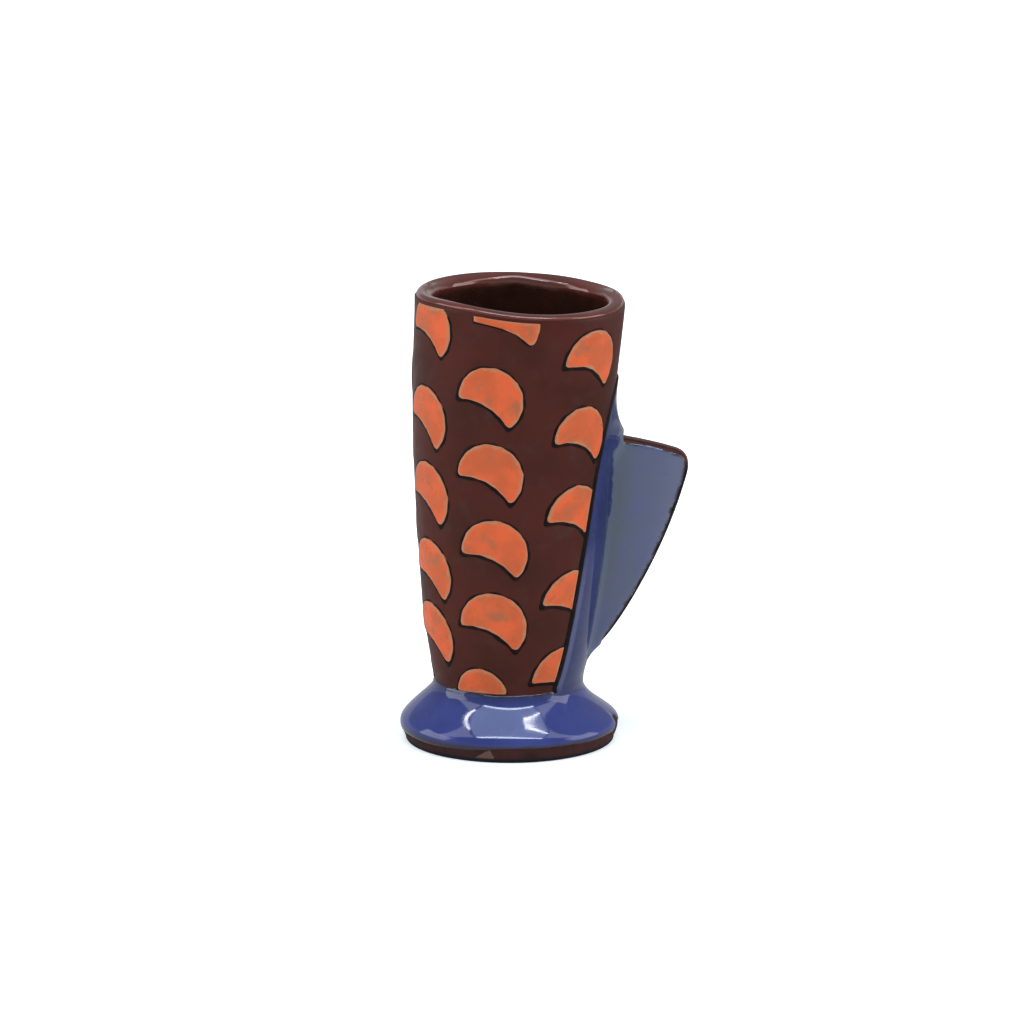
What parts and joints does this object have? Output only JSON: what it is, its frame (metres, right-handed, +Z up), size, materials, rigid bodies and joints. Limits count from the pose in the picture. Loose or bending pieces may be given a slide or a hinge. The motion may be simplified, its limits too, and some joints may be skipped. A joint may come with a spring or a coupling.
{
  "type": "shot glass",
  "caption": "Tall handmade ceramic shot cup on a flared foot, with a flat fin-shaped handle and a fish-scale pattern in slip and glaze.",
  "frame": {"origin": "middle of the flat base, on the table", "axes": "+Z up the cup's axis, +X towards the fin handle, -Y out of the side seen with the handle on the right"},
  "size_m": [0.0597, 0.046, 0.096],
  "materials": {
    "clay_body": "gloss",
    "bare_clay": "matte",
    "blue_glaze": "gloss",
    "orange_slip": "satin",
    "black_line": "satin",
    "liner_glaze": "gloss"
  },
  "bodies": {
    "root": {"beaker": "clay_body", "foot": "bare_clay", "fin_handle": "clay_body", "fin_root_coil": "blue_glaze", "foot_glaze": "blue_glaze", "panel_glaze": "blue_glaze", "fin_glaze_front": "blue_glaze", "fin_glaze_back": "blue_glaze", "panel_line": "black_line", "liner_glaze": "liner_glaze", "scale_front_right_1": "orange_slip", "scale_front_right_2": "orange_slip", "scale_front_right_3": "orange_slip", "scale_front_right_4": "orange_slip", "scale_front_right_5": "orange_slip", "scale_front_1": "orange_slip", "scale_front_2": "orange_slip", "scale_front_3": "orange_slip", "scale_front_4": "orange_slip", "scale_front_5": "orange_slip", "scale_front_6": "orange_slip", "scale_left_front_1": "orange_slip", "scale_left_front_2": "orange_slip", "scale_left_front_3": "orange_slip", "scale_left_front_4": "orange_slip", "scale_left_front_5": "orange_slip", "scale_left_back_1": "orange_slip", "scale_left_back_2": "orange_slip", "scale_left_back_3": "orange_slip", "scale_left_back_4": "orange_slip", "scale_left_back_5": "orange_slip", "scale_left_back_6": "orange_slip", "scale_back_1": "orange_slip", "scale_back_2": "orange_slip", "scale_back_3": "orange_slip", "scale_back_4": "orange_slip", "scale_back_5": "orange_slip", "scale_back_right_1": "orange_slip", "scale_back_right_2": "orange_slip", "scale_back_right_3": "orange_slip", "scale_back_right_4": "orange_slip", "scale_back_right_5": "orange_slip", "scale_back_right_6": "orange_slip"}
  },
  "joints": []
}
